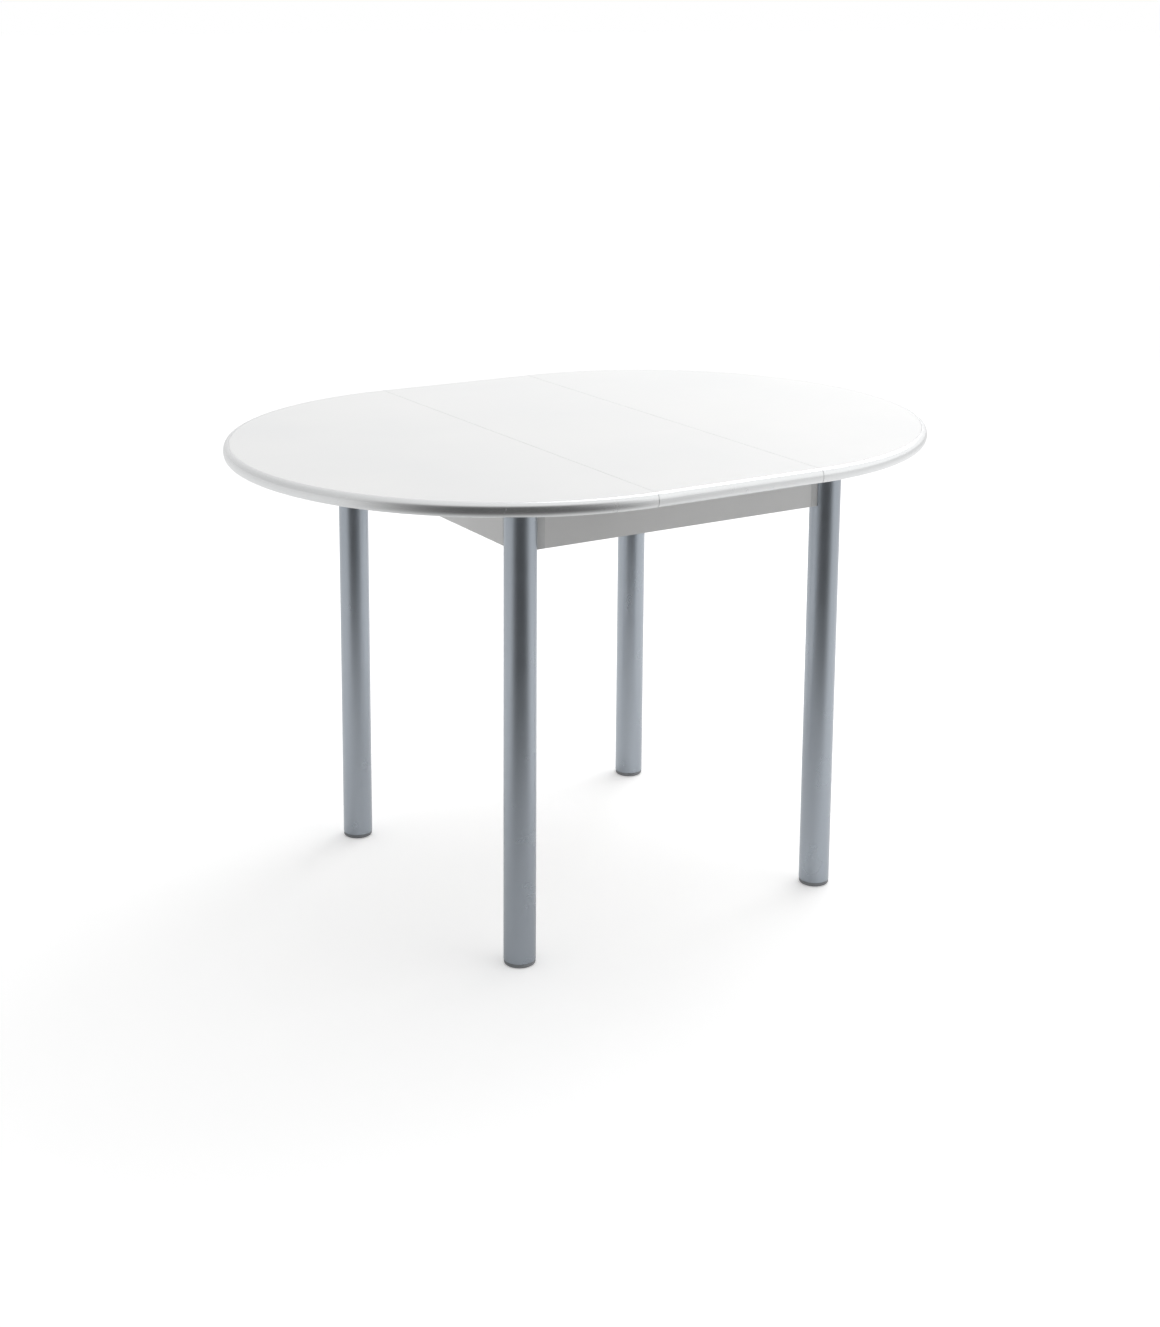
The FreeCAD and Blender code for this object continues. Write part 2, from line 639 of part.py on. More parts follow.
def save_frame():
    for side_name, y_side in SIDES.items():
        save("apron_" + side_name, long_apron(y_side))
    for side_name, (side, offset) in HALVES.items():
        save("apron_" + side_name, short_apron(side))
        save("cross_bearer_" + side_name, cross_bearer(side))
        for y_name, y_side in SIDES.items():
            save("guide_channel_" + side_name + "_" + y_name, guide_channel(y_side * offset))
    save("guide_screws", guide_screws())
    save("guide_stops", guide_stops())
    save("bearer_brackets", bearer_brackets())
    save("bracket_screws", bracket_screws())
    save("glide_pads", glide_pads())


def save_halves():
    for side_name, (side, offset) in HALVES.items():
        save("top_half_" + side_name, half_top(side))
        save("edge_band_" + side_name, half_ring(band_profile(), side))
        for y_name, y_side in SIDES.items():
            save("runner_" + side_name + "_" + y_name, runner(side, y_side * offset))
        save("runner_screws_" + side_name, runner_screws(side))
        save("stop_pins_" + side_name, stop_pins(side))
        save("seam_plates_" + side_name, seam_plates(side))
        save("seam_plate_screws_" + side_name, seam_plate_screws(side))


def save_leaf():
    save("centre_leaf", centre_leaf())
    save("leaf_edge_bands", leaf_edge_bands())
    for y_name, y_side in SIDES.items():
        save("leaf_cleat_" + y_name, leaf_cleat(y_side))
    save("leaf_cleat_screws", leaf_cleat_screws())


os.makedirs("parts", exist_ok=True)
save_corners()
save_frame()
save_halves()
save_leaf()
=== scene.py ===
"""The looks of a round extending table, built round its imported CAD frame. All sizes are in metres."""

import json
import math

import bmesh
import bpy
from mathutils import Matrix, Vector


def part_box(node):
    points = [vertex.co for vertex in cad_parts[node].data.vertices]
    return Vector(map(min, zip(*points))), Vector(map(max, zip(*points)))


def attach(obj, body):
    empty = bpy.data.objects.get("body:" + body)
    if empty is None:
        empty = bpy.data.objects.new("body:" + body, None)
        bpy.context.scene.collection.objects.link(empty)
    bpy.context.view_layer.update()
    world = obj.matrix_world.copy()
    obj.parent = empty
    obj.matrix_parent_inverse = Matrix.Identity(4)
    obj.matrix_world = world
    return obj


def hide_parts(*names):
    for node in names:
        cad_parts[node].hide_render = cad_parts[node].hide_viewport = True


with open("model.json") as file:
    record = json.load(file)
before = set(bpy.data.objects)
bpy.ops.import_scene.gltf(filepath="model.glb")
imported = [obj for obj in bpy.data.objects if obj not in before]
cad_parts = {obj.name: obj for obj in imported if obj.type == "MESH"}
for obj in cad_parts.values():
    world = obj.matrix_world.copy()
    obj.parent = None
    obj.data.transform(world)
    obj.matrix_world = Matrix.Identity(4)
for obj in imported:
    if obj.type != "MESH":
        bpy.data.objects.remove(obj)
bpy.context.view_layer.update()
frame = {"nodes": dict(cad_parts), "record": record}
nodes = frame["nodes"]

SLOT_OF = {row["node"]: row["material_slot"] for row in frame["record"]["subparts"]}
BODY_OF = {node: body for body, members in frame["record"]["behaviour"]["bodies"].items() for node in members}
CORNERS = ("front_left", "front_right", "back_right", "back_left")

MM = 0.001

# Places and sizes that follow from the frame
LEAF_LOW, LEAF_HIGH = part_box("centre_leaf")
BOARD_LOW, BOARD_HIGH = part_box("top_half_right")
BAND_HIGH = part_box("edge_band_right")[1]
TUBE_LOW, TUBE_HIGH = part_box("leg_tube_front_left")
TOP_Z = LEAF_HIGH.z
UNDERSIDE_Z = LEAF_LOW.z
TOP_RADIUS = BAND_HIGH.y
SEAM_X = BAND_HIGH.x - TOP_RADIUS
SEAM_GAP = 2 * (BOARD_LOW.x - SEAM_X)
RIGHT_SEAM = SEAM_X + SEAM_GAP / 2
LEAF_HALF_WIDTH = SEAM_X - SEAM_GAP / 2
BAND_WIDTH = BAND_HIGH.y - BOARD_HIGH.y
TUBE_RADIUS = (TUBE_HIGH.x - TUBE_LOW.x) / 2

# The edging: rounded above and below, and slightly crowned between, by an angle in degrees
UPPER_ROUND = 9 * MM
LOWER_ROUND = 7 * MM
CROWN_ANGLE = 15
UPPER_STEPS, CROWN_STEPS, LOWER_STEPS = 12, 6, 10
OPEN_JOINT = 0.15 * MM
BOARD_RADIUS = TOP_RADIUS - BAND_WIDTH - OPEN_JOINT
HALF_TOP_STEPS = 192

# The frame
GUIDE_WALL = 2 * MM
NOTCH_INSET = 1 * MM
TUBE_WALL = 1.5 * MM
TUBE_INNER = TUBE_RADIUS - TUBE_WALL
TUBE_RIM_ROUND = 0.4 * MM
TUBE_RIM_STEPS = 4
TUBE_STEPS = 128

# A foot
FOOT_GROOVE = 0.5 * MM
FOOT_GROOVE_DEPTH = 0.7 * MM
FOOT_ROUND = 2.6 * MM
FOOT_ROUND_STEPS = 8
FOOT_STEPS = 96
GLIDE_HEIGHT = 0.4 * MM
GLIDE_EASE = 0.5 * MM
GLIDE_INSET = 6 * MM
SPIGOT_CLEARANCE = 0.2 * MM
SPIGOT_EASE = 1 * MM
SPIGOT_WALL = 2.5 * MM
FOOT_BORE = 0.5 * MM

# How much the edges are eased
BOARD_EASE = 0.2 * MM
APRON_EASE = 0.8 * MM
CONNECTOR_EASE = 0.4 * MM
SMALL_PART_EASE = 0.3 * MM
FASTENER_EASE = 0.15 * MM
EASE_STEPS = 2

# Mesh clean-up: edges sharper than the first angle are eased, and shading is smooth below the second
SHARP_ANGLE = math.radians(35)
SMOOTH_ANGLE = math.radians(32)
FLAT_ANGLE = math.radians(0.3)
WELD_DISTANCE = 0.002 * MM

# The studio: its dark side is the viewer's, and its light comes mostly from the viewer's right
DARK_DIRECTION = (-0.47, -0.88, 0.0)
DARK_EDGE, DARK_CORE = 0.40, 0.97
RIGHT_DIRECTION = (0.85, -0.53, 0.0)
WORLD_LEVEL = 0.91
WORLD_SLOPE = 0.26
WORLD_DARKNESS = 0.9
FLOOR_HALF = 60.0
# Painted shade on the floor: how far out, and how dark, its front part is painted for bounced light
FLOOR_SHADE_REACH = 2.1
FLOOR_SHADE_COLOUR = (0.11, 0.11, 0.11, 1)
FLOOR_LIFT = 0.26
KEY_PLACE = (2.0, 0.9, 2.8)
KEY_TARGET = (0, 0, 0.6)
KEY_SIZE = 2.0
KEY_POWER = 32.0

# The camera
CAMERA_PLACE = (-1.7622, -2.8324, 1.4701)
CAMERA_YAW, CAMERA_PITCH, CAMERA_ROLL = 0.5548, 0.1897, 0.0073
CAMERA_LENS = 55.80407
CAMERA_SENSOR = 36.0
CAMERA_SHIFT = -0.21


# Materials, all from nodes


class Tree:
    """A material's node tree, with short ways to add and join nodes."""

    def __init__(self, name):
        self.material = bpy.data.materials.new(name)
        self.material.use_nodes = True
        self.tree = self.material.node_tree
        self.shader = self.tree.nodes["Principled BSDF"]
        coordinates = self.tree.nodes.new("ShaderNodeTexCoord")
        self.place = coordinates.outputs["Object"]

    def add(self, kind, inputs=None, **settings):
        made = self.tree.nodes.new("ShaderNode" + kind)
        for key, value in settings.items():
            setattr(made, key, value)
        for key, value in (inputs or {}).items():
            self.put(made.inputs[key], value)
        return made

    def put(self, socket, value):
        """Links a socket into another, or sets a constant."""
        if isinstance(value, bpy.types.NodeSocket):
            self.tree.links.new(value, socket)
        else:
            socket.default_value = value

    def set(self, **inputs):
        """Sets the shader's sockets: Base_Color means Base Color."""
        for key, value in inputs.items():
            self.put(self.shader.inputs[key.replace("_", " ")], value)

    def stretched(self, scale):
        """Object coordinates, scaled along each axis."""
        return self.add("Mapping", {"Vector": self.place, "Scale": scale}).outputs["Vector"]

    def noise(self, scale, detail=3.0, roughness=0.55, vector=None, distortion=0.0):
        made = self.add("TexNoise", {"Vector": vector or self.place, "Scale": scale, "Detail": detail,
                                     "Roughness": roughness, "Distortion": distortion})
        return made.outputs["Fac"]

    def cells(self, scale):
        """How far each place is from the nearest of many scattered points."""
        return self.add("TexVoronoi", {"Vector": self.place, "Scale": scale}).outputs["Distance"]

    def spread(self, value, low, high, from_low=0.3, from_high=0.7):
        """A value moved from one range to another."""
        made = self.add("MapRange", {"Value": value, "From Min": from_low, "From Max": from_high,
                                     "To Min": low, "To Max": high})
        return made.outputs["Result"]

    def mix(self, factor, first, second):
        """A colour between two colours."""
        made = self.add("Mix", data_type="RGBA")
        self.put(made.inputs["Factor"], factor)
        self.put(made.inputs[6], first)
        self.put(made.inputs[7], second)
        return made.outputs[2]

    def tones(self, value, first, second):
        """Two tones, shared out by a noise."""
        return self.mix(self.spread(value, 0, 1), (*first, 1), (*second, 1))

    def bump(self, height, distance, strength=1.0, normal=None):
        inputs = {"Height": height, "Distance": distance, "Strength": strength}
        if normal is not None:
            inputs["Normal"] = normal
        return self.add("Bump", inputs).outputs["Normal"]


def white_laminate():
    """A white laminate face: a faint mottle, a fine pearl texture and light wear in its gloss."""
    m = Tree("white_laminate")
    cloud = m.noise(3.0, 2.0)
    pearl = m.noise(900.0, 2.0)
    swell = m.noise(12.0, 1.0)
    rub = m.noise(26.0, 6.0, 0.7)
    m.set(Base_Color=m.tones(cloud, (0.83, 0.835, 0.835), (0.86, 0.86, 0.855)),
          Roughness=m.spread(rub, 0.42, 0.50),
          Normal=m.bump(pearl, 0.03 * MM, 0.3, m.bump(swell, 0.2 * MM, 0.1)),
          Specular_IOR_Level=0.35)
    return m.material


def silver_edging():
    """Silver edging: a smooth metallic film over plastic, with fine flakes and rubbed spots."""
    m = Tree("silver_edging")
    flake = m.noise(2600.0, 1.0)
    rub = m.noise(38.0, 5.0, 0.65)
    m.set(Base_Color=m.tones(flake, (0.80, 0.81, 0.82), (0.84, 0.85, 0.85)),
          Metallic=0.92, Roughness=m.spread(rub, 0.22, 0.28), Normal=m.bump(flake, 0.01 * MM, 0.2),
          Coat_Weight=0.2, Coat_Roughness=0.12)
    return m.material


def white_melamine():
    """A white melamine board: small pores, soft mottle and a satin sheen."""
    m = Tree("white_melamine")
    pores = m.cells(1400.0)
    cloud = m.noise(5.0, 3.0)
    rub = m.noise(30.0, 5.0, 0.7)
    m.set(Base_Color=m.tones(cloud, (0.77, 0.77, 0.765), (0.81, 0.81, 0.805)),
          Roughness=m.spread(rub, 0.36, 0.50), Normal=m.bump(pores, 0.06 * MM, 0.3))
    return m.material


def silver_paint():
    """Silver grey powder coat: fine flakes, a faint orange peel and slightly duller patches."""
    m = Tree("silver_paint")
    flake = m.noise(1100.0, 1.0)
    peel = m.noise(70.0, 1.0)
    rub = m.noise(18.0, 3.0, 0.55)
    m.set(Base_Color=m.tones(flake, (0.42, 0.46, 0.507), (0.43, 0.47, 0.518)),
          Metallic=0.92, Roughness=m.spread(rub, 0.26, 0.34), Normal=m.bump(peel, 0.02 * MM, 0.15),
          Coat_Weight=0.15, Coat_Roughness=0.2)
    return m.material


def moulded_plastic(name, dark, light, roughness):
    """Moulded plastic with a fine spark-eroded grain."""
    m = Tree(name)
    grain = m.noise(1500.0, 3.0, 0.6)
    cloud = m.noise(20.0, 4.0)
    rub = m.noise(60.0, 5.0, 0.7)
    m.set(Base_Color=m.tones(cloud, dark, light), Roughness=m.spread(rub, roughness, roughness + 0.15),
          Normal=m.bump(grain, 0.08 * MM, 0.4))
    return m.material


def zinc_steel(name, tint):
    """Zinc plated steel: a crystalline mottle and a soft metallic sheen."""
    m = Tree(name)
    spangle = m.cells(420.0)
    grain = m.noise(900.0, 3.0)
    rub = m.noise(150.0, 5.0, 0.7)
    m.set(Base_Color=m.mix(m.spread(spangle, 0, 1, 0, 0.6), (*tint, 1), (0.80, 0.81, 0.80, 1)),
          Metallic=1.0, Roughness=m.spread(rub, 0.25, 0.42), Normal=m.bump(grain, 0.04 * MM, 0.3))
    return m.material


def mill_aluminium():
    """Extruded aluminium: die lines along X and a dull oxide bloom."""
    m = Tree("mill_aluminium")
    lines = m.noise(700.0, 3.0, 0.6, m.stretched((0.01, 1.0, 1.0)))
    bloom = m.noise(24.0, 5.0, 0.65)
    m.set(Base_Color=m.tones(bloom, (0.70, 0.71, 0.72), (0.82, 0.83, 0.84)),
          Metallic=1.0, Roughness=m.spread(bloom, 0.28, 0.45), Normal=m.bump(lines, 0.05 * MM, 0.4))
    return m.material


def planed_beech(along):
    """Planed beech: growth bands and dark flecks, drawn out along the grain."""
    m = Tree("beech_along_" + along)
    grain_scale = tuple(0.06 if axis == along else 1.0 for axis in "xyz")
    fleck_scale = tuple(0.12 if axis == along else 1.0 for axis in "xyz")
    bands = m.noise(90.0, 4.0, 0.6, m.stretched(grain_scale), 0.6)
    flecks = m.noise(700.0, 2.0, 0.5, m.stretched(fleck_scale))
    wood = m.tones(bands, (0.50, 0.31, 0.17), (0.68, 0.47, 0.29))
    m.set(Base_Color=m.mix(m.spread(flecks, 0, 0.55, 0.62, 0.74), wood, (0.30, 0.17, 0.09, 1)),
          Roughness=m.spread(bands, 0.5, 0.68),
          Normal=m.bump(flecks, 0.1 * MM, 0.35, m.bump(bands, 0.15 * MM, 0.3)))
    return m.material


# Each plastic's dark tone, light tone and roughness
PLASTICS = {
    "light_grey_plastic": ((0.60, 0.605, 0.605), (0.65, 0.655, 0.655), 0.4),
    "grey_plastic": ((0.20, 0.21, 0.22), (0.27, 0.28, 0.29), 0.42),
    "black_plastic": ((0.025, 0.025, 0.026), (0.04, 0.04, 0.042), 0.45),
    "natural_plastic": ((0.72, 0.71, 0.66), (0.80, 0.79, 0.74), 0.35),
}
MATERIALS = {
    "white_top": white_laminate(),
    "silver_edge": silver_edging(),
    "white_apron": white_melamine(),
    "silver_paint": silver_paint(),
    "galvanised_steel": zinc_steel("galvanised_steel", (0.52, 0.53, 0.54)),
    "zinc_fastener": zinc_steel("zinc_fastener", (0.62, 0.63, 0.63)),
    "aluminium_rail": mill_aluminium(),
    "beech": planed_beech("y"),
}
MATERIALS.update({name: moulded_plastic(name, *look) for name, look in PLASTICS.items()})
CLEAT_MATERIAL = planed_beech("x")


# Mesh helpers

finished = set()


def finish_piece(name, mesh_data, node, ease, material=None):
    """Makes a piece from a bmesh in place of a CAD node, with its sharp edges eased."""
    if ease:
        sharp = [edge for edge in mesh_data.edges
                 if edge.is_manifold and edge.calc_face_angle(0.0) > SHARP_ANGLE]
        bmesh.ops.bevel(mesh_data, geom=sharp, offset=ease, segments=EASE_STEPS, profile=0.5,
                        affect="EDGES", clamp_overlap=True)
    bmesh.ops.recalc_face_normals(mesh_data, faces=mesh_data.faces)
    mesh = bpy.data.meshes.new(name)
    mesh_data.to_mesh(mesh)
    mesh_data.free()
    mesh.materials.append(material or MATERIALS[SLOT_OF[node]])
    piece = bpy.data.objects.new(name, mesh)
    bpy.context.scene.collection.objects.link(piece)
    mesh.polygons.foreach_set("use_smooth", [True] * len(mesh.polygons))
    mesh.set_sharp_from_angle(angle=SMOOTH_ANGLE)
    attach(piece, BODY_OF[node])
    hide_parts(node)
    finished.add(node)


def add_prism(mesh_data, outline, low, high, axis="z"):
    """Adds a prism on a closed outline. The outline is in the two other axes, in X, Y, Z order."""
    def place(first, second, along):
        return {"x": (along, first, second), "y": (first, along, second), "z": (first, second, along)}[axis]

    rings = [[mesh_data.verts.new(place(u, v, along)) for u, v in outline] for along in (low, high)]
    mesh_data.faces.new(rings[0][::-1])
    mesh_data.faces.new(rings[1])
    for i in range(len(outline)):
        j = (i + 1) % len(outline)
        mesh_data.faces.new((rings[0][i], rings[0][j], rings[1][j], rings[1][i]))


def add_turned(mesh_data, profile, centre, steps, start=0, sweep=360):
    """Adds a closed profile of (radius, height) points, turned about an upright axis. In degrees."""
    whole = sweep == 360
    rings = []
    for i in range(steps if whole else steps + 1):
        angle = math.radians(start + sweep * i / steps)
        x_part, y_part = math.cos(angle), math.sin(angle)
        rings.append([mesh_data.verts.new((centre[0] + radius * x_part, centre[1] + radius * y_part, z))
                      for radius, z in profile])
    for i in range(steps):
        ring, following = rings[i], rings[(i + 1) % len(rings)]
        for j in range(len(profile)):
            k = (j + 1) % len(profile)
            mesh_data.faces.new((ring[j], following[j], following[k], ring[k]))
    if not whole:
        mesh_data.faces.new(rings[0])
        mesh_data.faces.new(rings[-1][::-1])


def arc(centre, radius, start, end, steps):
    """Points along an arc, its angles in degrees."""
    angles = [math.radians(start + (end - start) * i / steps) for i in range(steps + 1)]
    return [(centre[0] + radius * math.cos(a), centre[1] + radius * math.sin(a)) for a in angles]


def rectangle(x_low, x_high, y_low, y_high):
    return [(x_low, y_low), (x_high, y_low), (x_high, y_high), (x_low, y_high)]


def soften_node(name, ease, material=None):
    """A CAD node's own shape, with its flat faces made whole and its sharp edges eased."""
    mesh_data = bmesh.new()
    mesh_data.from_mesh(nodes[name].data)
    bmesh.ops.remove_doubles(mesh_data, verts=mesh_data.verts, dist=WELD_DISTANCE)
    bmesh.ops.dissolve_limit(mesh_data, angle_limit=FLAT_ANGLE, verts=mesh_data.verts,
                             edges=mesh_data.edges)
    finish_piece(name + "_finished", mesh_data, name, ease, material)


# The tops


def half_top_outline(side):
    """A half circle, carried on to the seam."""
    start = 90 if side < 0 else -90
    circle = arc((0, 0), BOARD_RADIUS, start, start + 180, HALF_TOP_STEPS)
    outline = [(side * SEAM_X + x, y) for x, y in circle]
    outline[0] = (side * RIGHT_SEAM, outline[0][1])
    outline[-1] = (side * RIGHT_SEAM, outline[-1][1])
    return outline


def make_boards():
    """The white boards: crisp laminate edges, eased where they meet the edging and each other."""
    leaf_outline = rectangle(-LEAF_HALF_WIDTH, LEAF_HALF_WIDTH, -BOARD_RADIUS, BOARD_RADIUS)
    outlines = {"top_half_left": half_top_outline(-1), "top_half_right": half_top_outline(1),
                "centre_leaf": leaf_outline}
    for name, outline in outlines.items():
        mesh_data = bmesh.new()
        add_prism(mesh_data, outline, UNDERSIDE_Z, TOP_Z)
        finish_piece(name + "_board", mesh_data, name, BOARD_EASE)


def band_section():
    """The edging's section as (distance from the middle, height): rounded and crowned outside."""
    sine, cosine = math.sin(math.radians(CROWN_ANGLE)), math.cos(math.radians(CROWN_ANGLE))
    crown = (TOP_Z - UNDERSIDE_Z - (UPPER_ROUND + LOWER_ROUND) * (1 - sine)) / (2 * sine)
    across, up = TOP_RADIUS - crown, UNDERSIDE_Z + LOWER_ROUND + (crown - LOWER_ROUND) * sine
    upper_centre = (across + (crown - UPPER_ROUND) * cosine, up + (crown - UPPER_ROUND) * sine)
    lower_centre = (across + (crown - LOWER_ROUND) * cosine, up - (crown - LOWER_ROUND) * sine)
    return (arc(upper_centre, UPPER_ROUND, 90, CROWN_ANGLE, UPPER_STEPS)
            + arc((across, up), crown, CROWN_ANGLE, -CROWN_ANGLE, CROWN_STEPS)[1:]
            + arc(lower_centre, LOWER_ROUND, -CROWN_ANGLE, -90, LOWER_STEPS)[1:]
            + [(upper_centre[0], UNDERSIDE_Z)])


def make_edge_bands():
    """The silver edging, round the half tops and along the leaf's two ends."""
    section = band_section()
    for side, name in ((-1, "edge_band_left"), (1, "edge_band_right")):
        mesh_data = bmesh.new()
        add_turned(mesh_data, section, (side * RIGHT_SEAM, 0), HALF_TOP_STEPS, -90 * side, 180)
        # Turned about the seam's end, a little outside the top's own centre, then drawn back towards it
        for vertex in mesh_data.verts:
            reach = (abs(vertex.co.x) - RIGHT_SEAM) / TOP_RADIUS
            vertex.co.x -= side * SEAM_GAP / 2 * min(1.0, reach)
        finish_piece(name + "_film", mesh_data, name, BOARD_EASE)
    mesh_data = bmesh.new()
    add_prism(mesh_data, section, -LEAF_HALF_WIDTH, LEAF_HALF_WIDTH, "x")
    far_section = [(-y, z) for y, z in reversed(section)]
    add_prism(mesh_data, far_section, -LEAF_HALF_WIDTH, LEAF_HALF_WIDTH, "x")
    finish_piece("leaf_edge_bands_film", mesh_data, "leaf_edge_bands", BOARD_EASE)


# The frame


def notched_outline(side, low, high):
    """A short apron's outline as (Y, Z) points, with a notch in its top for each runner."""
    outline = [(low.y, low.z), (high.y, low.z), (high.y, high.z)]
    for end in ("back", "front"):
        guide_low, guide_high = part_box("guide_channel_" + side + "_" + end)
        near, far = guide_high.y - NOTCH_INSET, guide_low.y + NOTCH_INSET
        floor = guide_low.z + GUIDE_WALL
        outline += [(near, high.z), (near, floor), (far, floor), (far, high.z)]
    return outline + [(low.y, high.z)]


def make_aprons():
    """The apron boards, with eased edges."""
    for name in ("apron_front", "apron_back"):
        low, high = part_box(name)
        mesh_data = bmesh.new()
        add_prism(mesh_data, rectangle(low.x, high.x, low.z, high.z), low.y, high.y, "y")
        finish_piece(name + "_board", mesh_data, name, APRON_EASE)
    for side in ("left", "right"):
        name = "apron_" + side
        low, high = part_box(name)
        mesh_data = bmesh.new()
        add_prism(mesh_data, notched_outline(side, low, high), low.x, high.x, "x")
        finish_piece(name + "_board", mesh_data, name, APRON_EASE)


def leg_centre(corner):
    low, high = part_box("leg_tube_" + corner)
    return (low.x + high.x) / 2, (low.y + high.y) / 2


def make_legs():
    """Each leg: a drawn tube with rolled rims, its foot and its top plug."""
    rim = TUBE_RADIUS - TUBE_RIM_ROUND
    tube = (arc((rim, TUBE_LOW.z + TUBE_RIM_ROUND), TUBE_RIM_ROUND, -90, 0, TUBE_RIM_STEPS)
            + arc((rim, TUBE_HIGH.z - TUBE_RIM_ROUND), TUBE_RIM_ROUND, 0, 90, TUBE_RIM_STEPS)
            + [(TUBE_INNER, TUBE_HIGH.z), (TUBE_INNER, TUBE_LOW.z)])
    for corner in CORNERS:
        name = "leg_tube_" + corner
        mesh_data = bmesh.new()
        add_turned(mesh_data, tube, leg_centre(corner), TUBE_STEPS)
        finish_piece(name + "_paint", mesh_data, name, 0)
        make_foot(corner)
        soften_node("leg_top_plug_" + corner, SMALL_PART_EASE)


def make_foot(corner):
    """A plastic foot: a groove under the tube, a rounded rim, a glide disc and a hollow spigot."""
    name = "foot_cap_" + corner
    low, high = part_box(name)
    rim = (high.x - low.x) / 2
    neck = rim - FOOT_GROOVE_DEPTH
    disc = rim - GLIDE_INSET
    base = low.z + GLIDE_HEIGHT
    spigot = TUBE_INNER - SPIGOT_CLEARANCE
    hollow = spigot - SPIGOT_WALL
    rounding = arc((rim - FOOT_ROUND, base + FOOT_ROUND), FOOT_ROUND, -90, 0, FOOT_ROUND_STEPS)
    profile = ([(disc - GLIDE_EASE, low.z), (disc, base)] + rounding
               + [(rim, TUBE_LOW.z - FOOT_GROOVE), (neck, TUBE_LOW.z - FOOT_GROOVE),
                  (neck, TUBE_LOW.z), (spigot, TUBE_LOW.z), (spigot, high.z - SPIGOT_EASE),
                  (spigot - SPIGOT_EASE, high.z), (hollow, high.z), (hollow, TUBE_LOW.z),
                  (FOOT_BORE, TUBE_LOW.z), (FOOT_BORE, low.z)])
    mesh_data = bmesh.new()
    add_turned(mesh_data, profile, leg_centre(corner), FOOT_STEPS)
    finish_piece(name + "_moulding", mesh_data, name, 0)


def finish_connectors():
    for corner in CORNERS:
        soften_node("corner_connector_" + corner, CONNECTOR_EASE)


def finish_other_parts():
    """Eases every other CAD part's edges, by an amount that suits its size."""
    for name in sorted(set(nodes) - finished):
        ease = FASTENER_EASE if "screws" in name or "pins" in name else SMALL_PART_EASE
        material = CLEAT_MATERIAL if name in ("leaf_cleat_front", "leaf_cleat_back") else None
        soften_node(name, ease, material)


# The studio


def smooth_step(tree, value, low, high):
    made = tree.nodes.new("ShaderNodeMapRange")
    made.interpolation_type = "SMOOTHSTEP"
    made.inputs["From Min"].default_value = low
    made.inputs["From Max"].default_value = high
    tree.links.new(value, made.inputs["Value"])
    return made.outputs["Result"]


def component(tree, direction, axis):
    """How far a direction points along an axis."""
    made = tree.nodes.new("ShaderNodeVectorMath")
    made.operation = "DOT_PRODUCT"
    made.inputs[1].default_value = axis
    tree.links.new(direction, made.inputs[0])
    return made.outputs["Value"]


def dark_side(tree, direction):
    """How far a direction points into the studio's dark side: 0 to 1."""
    return smooth_step(tree, component(tree, direction, DARK_DIRECTION), DARK_EDGE, DARK_CORE)


def maths(tree, operation, first, second):
    made = tree.nodes.new("ShaderNodeMath")
    made.operation = operation
    for socket, value in zip(made.inputs, (first, second)):
        if isinstance(value, bpy.types.NodeSocket):
            tree.links.new(value, socket)
        else:
            socket.default_value = value
    return made.outputs[0]


def floor_material():
    """White where the camera sees it. Its far front part is painted dark for bounced light only: painted
    shade that stands in for the studio's dark side.
    """
    m = Tree("pale_floor")
    direction = m.add("VectorMath", {0: m.place}, operation="NORMALIZE").outputs["Vector"]
    distance = m.add("VectorMath", {0: m.place}, operation="LENGTH").outputs["Value"]
    # Painted shade: the front part of the floor, away from the table, is painted dark for all but camera rays
    far = smooth_step(m.tree, distance, 0.0, FLOOR_SHADE_REACH)
    dark = maths(m.tree, "MULTIPLY", dark_side(m.tree, direction), far)
    seen = m.add("LightPath").outputs["Is Camera Ray"]
    unseen_shade = maths(m.tree, "MULTIPLY", dark, maths(m.tree, "SUBTRACT", 1.0, seen))
    pale = m.tones(m.noise(0.8, 2.0), (0.93, 0.93, 0.93), (0.95, 0.95, 0.95))
    m.set(Base_Color=m.mix(unseen_shade, pale, FLOOR_SHADE_COLOUR), Roughness=0.9, Specular_IOR_Level=0.0,
          Emission_Color=(1, 1, 1, 1), Emission_Strength=maths(m.tree, "MULTIPLY", seen, FLOOR_LIFT))
    return m.material


def add_floor():
    mesh = bpy.data.meshes.new("floor")
    corners = rectangle(-FLOOR_HALF, FLOOR_HALF, -FLOOR_HALF, FLOOR_HALF)
    mesh.from_pydata([(x, y, 0) for x, y in corners], [], [(0, 1, 2, 3)])
    mesh.materials.append(floor_material())
    floor = bpy.data.objects.new("floor", mesh)
    bpy.context.scene.collection.objects.link(floor)


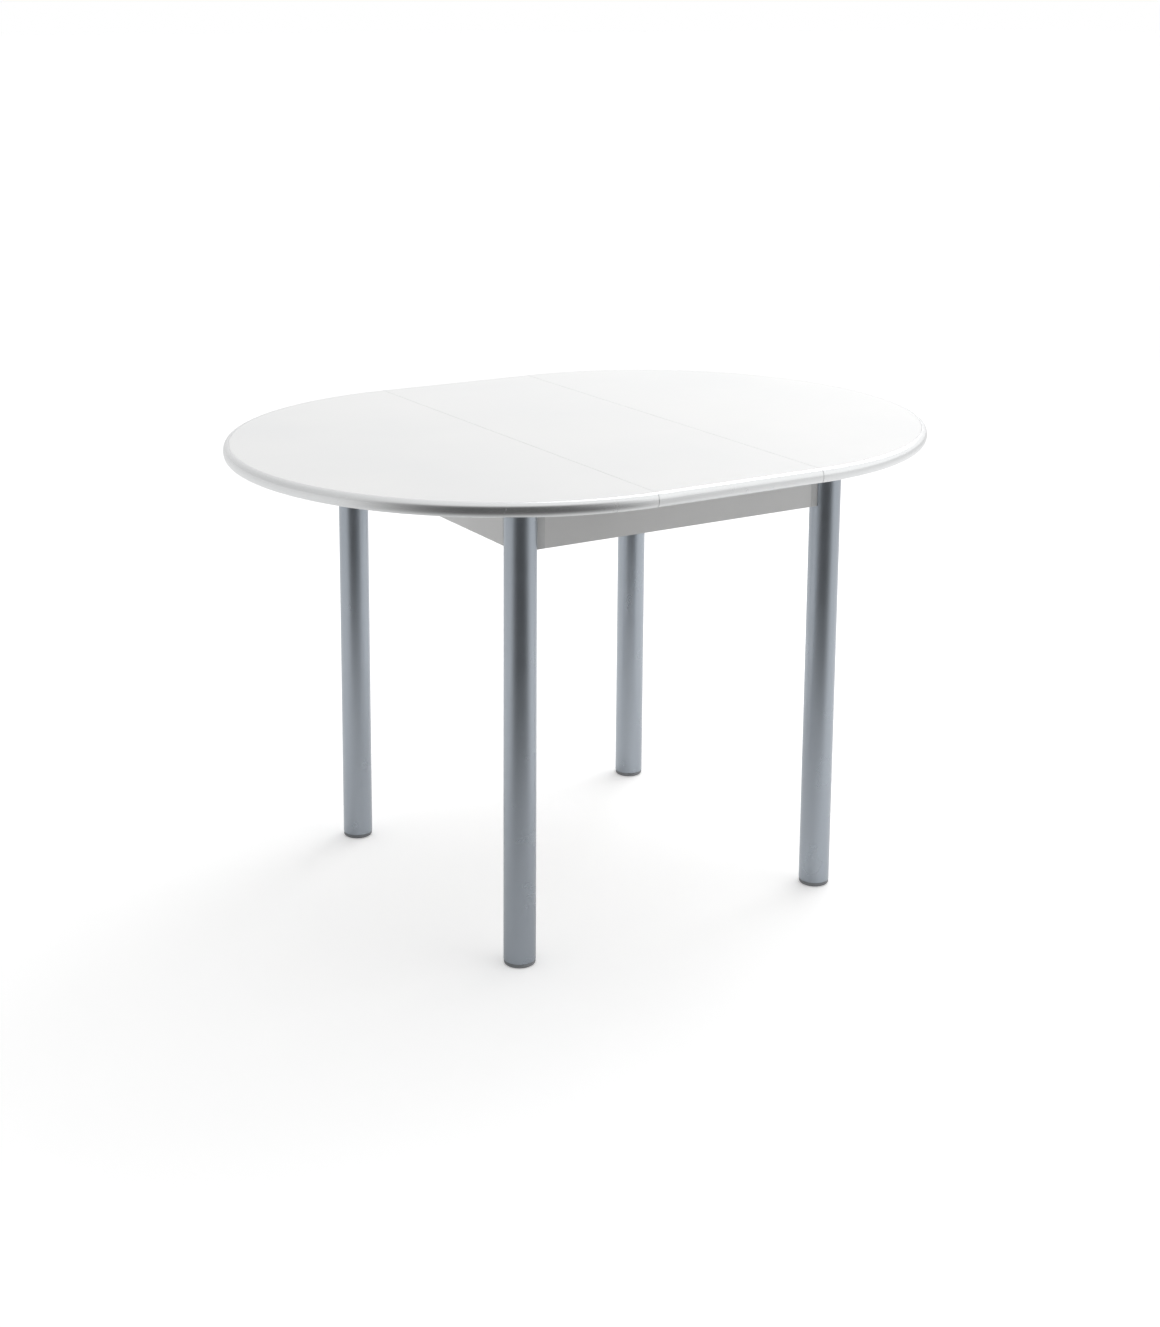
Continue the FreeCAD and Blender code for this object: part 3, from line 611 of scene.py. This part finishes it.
def add_world():
    """A white studio that is dark on the viewer's side. What the camera sees of it is plain white."""
    world = bpy.data.worlds.new("studio")
    bpy.context.scene.world = world
    world.use_nodes = True
    tree = world.node_tree
    tree.nodes.clear()
    place = tree.nodes.new("ShaderNodeTexCoord").outputs["Generated"]
    slope = maths(tree, "MULTIPLY", component(tree, place, RIGHT_DIRECTION), WORLD_SLOPE)
    level = maths(tree, "ADD", slope, WORLD_LEVEL)
    darkness = maths(tree, "MULTIPLY", dark_side(tree, place), WORLD_DARKNESS)
    lit = maths(tree, "MULTIPLY", level, maths(tree, "SUBTRACT", 1.0, darkness))
    seen = tree.nodes.new("ShaderNodeLightPath").outputs["Is Camera Ray"]
    background = tree.nodes.new("ShaderNodeBackground")
    tree.links.new(maths(tree, "MAXIMUM", lit, seen), background.inputs["Strength"])
    background.inputs["Color"].default_value = (1, 1, 1, 1)
    output = tree.nodes.new("ShaderNodeOutputWorld")
    tree.links.new(background.outputs[0], output.inputs["Surface"])


def add_key_light():
    """A soft square light, high on the viewer's right."""
    data = bpy.data.lights.new("key", "AREA")
    data.shape = "RECTANGLE"
    data.size = data.size_y = KEY_SIZE
    data.energy = KEY_POWER
    light = bpy.data.objects.new("key", data)
    light.location = KEY_PLACE
    facing = Vector(KEY_TARGET) - light.location
    light.rotation_euler = facing.to_track_quat("-Z", "Y").to_euler()
    bpy.context.scene.collection.objects.link(light)


def add_camera():
    """Looks from 32 degrees left of the front and 11 degrees down, with its view shifted down."""
    flat = math.cos(CAMERA_PITCH)
    forward = Vector((math.sin(CAMERA_YAW) * flat, math.cos(CAMERA_YAW) * flat, -math.sin(CAMERA_PITCH)))
    level_right = Vector((math.cos(CAMERA_YAW), -math.sin(CAMERA_YAW), 0))
    level_up = level_right.cross(forward)
    right = math.cos(CAMERA_ROLL) * level_right + math.sin(CAMERA_ROLL) * level_up
    up = -math.sin(CAMERA_ROLL) * level_right + math.cos(CAMERA_ROLL) * level_up
    data = bpy.data.cameras.new("camera")
    data.sensor_width = CAMERA_SENSOR
    data.lens = CAMERA_LENS
    data.shift_y = CAMERA_SHIFT
    camera = bpy.data.objects.new("camera", data)
    turn = Matrix((right, up, -forward)).transposed().to_4x4()
    camera.matrix_world = Matrix.Translation(CAMERA_PLACE) @ turn
    bpy.context.scene.collection.objects.link(camera)
    bpy.context.scene.camera = camera


add_camera()
make_boards()
make_edge_bands()
make_aprons()
make_legs()
finish_connectors()
finish_other_parts()
add_floor()
add_world()
add_key_light()
bpy.context.scene.view_settings.view_transform = "Standard"
